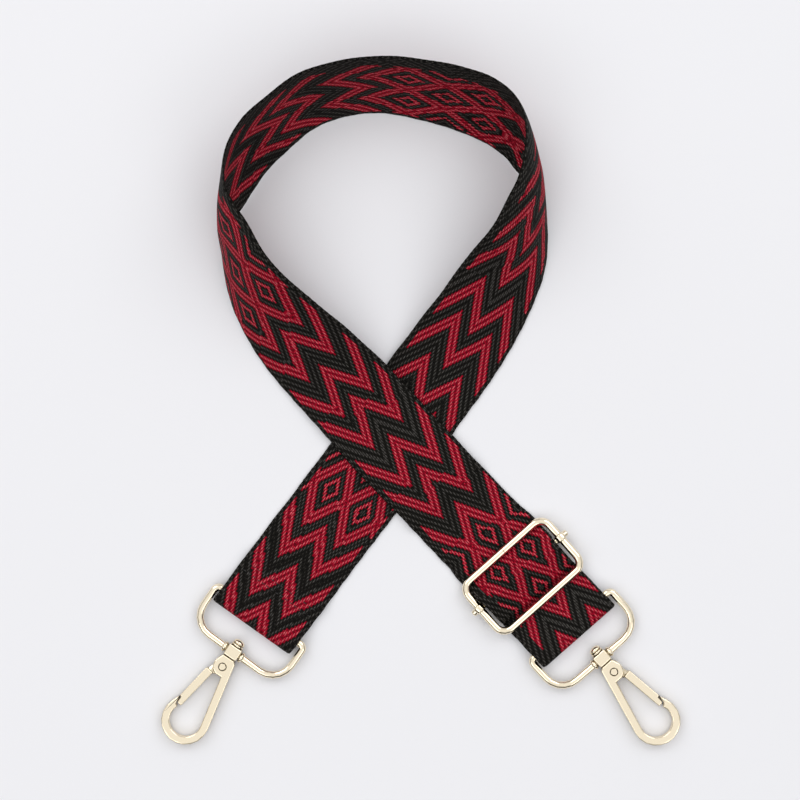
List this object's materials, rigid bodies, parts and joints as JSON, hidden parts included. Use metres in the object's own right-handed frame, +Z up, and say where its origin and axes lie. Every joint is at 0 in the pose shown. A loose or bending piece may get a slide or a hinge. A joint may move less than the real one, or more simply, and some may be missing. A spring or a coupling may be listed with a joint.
{
  "type": "detachable bag strap",
  "caption": "Wide patterned webbing shoulder strap with a sliding wire-frame adjuster, rectangular rings and swivel snap hooks with sprung gates at its ends.",
  "frame": {"origin": "middle of the footprint on the table under the strap", "axes": "+X to the picture's right, +Y from the clasps towards the far side of the loop, +Z up from the table"},
  "size_m": [0.2773, 0.3617, 0.0484],
  "materials": {
    "webbing": "woven jacquard",
    "plated_metal": "pale gold plate, polished",
    "spring_wire": "drawn wire"
  },
  "bodies": {
    "strap": {"webbing_main": "webbing", "webbing_run": "webbing"},
    "adjuster": {"adjuster_frame": "plated_metal"},
    "slide_bar": {"adjuster_bar": "plated_metal", "webbing_return": "webbing"},
    "strap_end": {"webbing_end_loop": "webbing"},
    "clasp_ring_a": {"ring_a": "plated_metal"},
    "clasp_hook_a": {"snap_hook_a": "plated_metal", "swivel_washer_a": "plated_metal", "gate_pin_a": "plated_metal", "gate_spring_a": "spring_wire"},
    "clasp_gate_a": {"gate_a": "plated_metal"},
    "clasp_ring_b": {"ring_b": "plated_metal"},
    "clasp_hook_b": {"snap_hook_b": "plated_metal", "swivel_washer_b": "plated_metal", "gate_pin_b": "plated_metal", "gate_spring_b": "spring_wire"},
    "clasp_gate_b": {"gate_b": "plated_metal"}
  },
  "joints": [
    {"name": "adjuster_slide", "type": "slide", "parent": "strap", "child": "adjuster", "axis": [-0.6909, 0.723, 0], "range_m": [-0.006, 0.03], "deforming": ["webbing_run", "webbing_return"]},
    {"name": "bar_slide", "type": "slide", "parent": "adjuster", "child": "slide_bar", "axis": [0.6597, -0.7496, 0.0533], "range_m": [-0.003, 0.003], "deforming": ["webbing_run", "webbing_return"]},
    {"name": "strap_end_slide", "type": "slide", "parent": "adjuster", "child": "strap_end", "axis": [-0.6909, 0.723, 0], "range_m": [-0.015, 0.003], "deforming": ["webbing_run", "webbing_return"]},
    {"name": "ring_a_pivot", "type": "hinge", "parent": "strap", "child": "clasp_ring_a", "pos_m": [-0.08534, -0.11185, 0.0038], "axis": [-0.8141, 0.5807, 0], "range_deg": [-150, 150]},
    {"name": "hook_a_swivel", "type": "hinge", "parent": "clasp_ring_a", "child": "clasp_hook_a", "pos_m": [-0.10573, -0.1387, 0.00326], "axis": [-0.5806, -0.814, -0.0159], "continuous": true},
    {"name": "gate_a_hinge", "type": "hinge", "parent": "clasp_hook_a", "child": "clasp_gate_a", "pos_m": [-0.10573, -0.1387, 0.00326], "axis": [-0.0092, -0.013, 0.9999], "range_deg": [0, 22], "stiffness_Nm_per_rad": 0.05, "springref_deg": -20.05, "deforming": ["gate_spring_a"]},
    {"name": "ring_b_pivot", "type": "hinge", "parent": "strap_end", "child": "clasp_ring_b", "pos_m": [0.08001, -0.11677, 0.0038], "axis": [-0.7507, -0.6607, 0], "range_deg": [-150, 150]},
    {"name": "hook_b_swivel", "type": "hinge", "parent": "clasp_ring_b", "child": "clasp_hook_b", "pos_m": [0.10302, -0.1414, 0.00326], "axis": [0.6606, -0.7506, -0.0159], "continuous": true},
    {"name": "gate_b_hinge", "type": "hinge", "parent": "clasp_hook_b", "child": "clasp_gate_b", "pos_m": [0.10302, -0.1414, 0.00326], "axis": [-0.0105, 0.0119, -0.9999], "range_deg": [0, 22], "stiffness_Nm_per_rad": 0.05, "springref_deg": -20.05, "deforming": ["gate_spring_b"]}
  ],
  "couplings": [
    {"joint": "strap_end_slide", "follows": "adjuster_slide", "ratio": -0.5}
  ]
}
